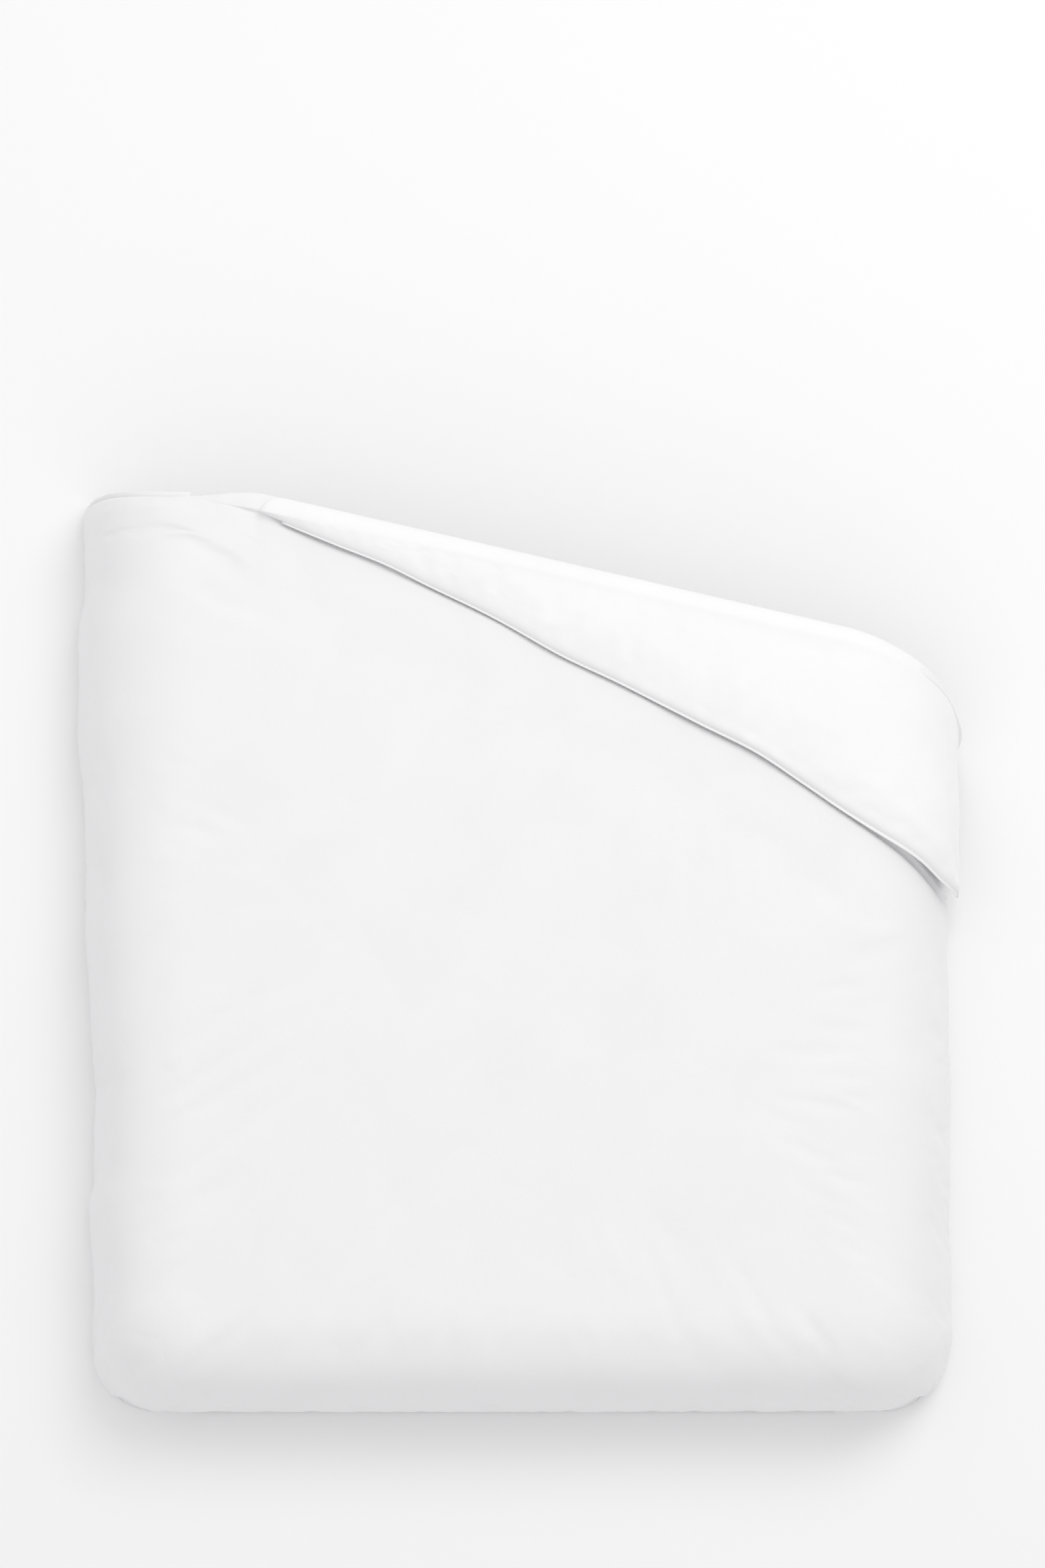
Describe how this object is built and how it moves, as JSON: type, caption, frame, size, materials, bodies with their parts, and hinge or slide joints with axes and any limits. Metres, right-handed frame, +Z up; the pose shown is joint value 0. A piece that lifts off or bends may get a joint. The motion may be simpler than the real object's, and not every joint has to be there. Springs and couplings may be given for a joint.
{
  "type": "duvet",
  "caption": "Filled quilt in its cover, draped as over a double mattress, with the right head corner turned back and a stud-closed opening at the foot.",
  "frame": {"origin": "bottom centre of the whole part, on the floor level that its hems reach", "axes": "+Y towards the head of the bed, +X across the bed towards the turned-back corner, +Z up"},
  "size_m": [1.6546, 1.704, 0.328],
  "materials": {
    "cover_cotton": "smooth plain-weave cotton, matt white",
    "sewn_edge_cotton": "folded and stitched cotton",
    "quilt_casing_cotton": "downproof cotton",
    "fibre_filling": "white hollow fibre",
    "stud_plastic": "white moulded plastic",
    "label_satin": "blank white satin"
  },
  "bodies": {
    "duvet": {"cover_face_panel": "cover_cotton", "cover_reverse_panel": "cover_cotton", "left_side_seam": "sewn_edge_cotton", "right_side_seam": "sewn_edge_cotton", "head_seam": "sewn_edge_cotton", "foot_hem_left": "sewn_edge_cotton", "foot_hem_right": "sewn_edge_cotton", "opening_under_hem": "sewn_edge_cotton", "care_label": "label_satin", "press_stud_1": "stud_plastic", "press_stud_2": "stud_plastic", "press_stud_3": "stud_plastic", "press_stud_4": "stud_plastic", "press_stud_5": "stud_plastic", "press_stud_6": "stud_plastic", "quilt_casing_top": "quilt_casing_cotton", "quilt_casing_under": "quilt_casing_cotton", "quilt_piping_left": "sewn_edge_cotton", "quilt_piping_right": "sewn_edge_cotton", "quilt_piping_foot": "sewn_edge_cotton", "quilt_piping_head": "sewn_edge_cotton", "fill_row1_box1": "fibre_filling", "fill_row1_box2": "fibre_filling", "fill_row1_box3": "fibre_filling", "fill_row1_box4": "fibre_filling", "fill_row2_box1": "fibre_filling", "fill_row2_box2": "fibre_filling", "fill_row2_box3": "fibre_filling", "fill_row2_box4": "fibre_filling", "fill_row3_box1": "fibre_filling", "fill_row3_box2": "fibre_filling", "fill_row3_box3": "fibre_filling", "fill_row3_box4": "fibre_filling", "fill_row4_box1": "fibre_filling", "fill_row4_box2": "fibre_filling", "fill_row4_box3": "fibre_filling", "fill_row4_box4": "fibre_filling", "corner_reverse": "cover_cotton", "corner_casing_under": "quilt_casing_cotton", "corner_fill": "fibre_filling", "corner_casing_top": "quilt_casing_cotton", "corner_face": "cover_cotton", "corner_head_seam": "sewn_edge_cotton", "corner_side_seam": "sewn_edge_cotton", "crease_reverse": "cover_cotton", "crease_casing": "quilt_casing_cotton", "crease_fill": "fibre_filling"},
    "turnback": {"turnback_reverse": "cover_cotton", "turnback_casing_under": "quilt_casing_cotton", "turnback_fill": "fibre_filling", "turnback_casing_top": "quilt_casing_cotton", "turnback_face": "cover_cotton", "turnback_head_seam": "sewn_edge_cotton"},
    "closure": {"opening_face_hem": "sewn_edge_cotton", "press_socket_1": "stud_plastic", "press_socket_2": "stud_plastic", "press_socket_3": "stud_plastic", "press_socket_4": "stud_plastic", "press_socket_5": "stud_plastic", "press_socket_6": "stud_plastic"}
  },
  "joints": [
    {"name": "turnback_lift", "type": "hinge", "parent": "duvet", "child": "turnback", "pos_m": [0.6178, 0.55274, 0.29185], "axis": [-0.974, 0.2267, 0], "range_deg": [0, 75], "deforming": ["crease_reverse", "crease_casing", "crease_fill"]},
    {"name": "opening_swing", "type": "hinge", "parent": "duvet", "child": "closure", "pos_m": [-0.0172, -0.83971, 0.04441], "axis": [-1, 0, 0], "range_deg": [0, 80]}
  ]
}
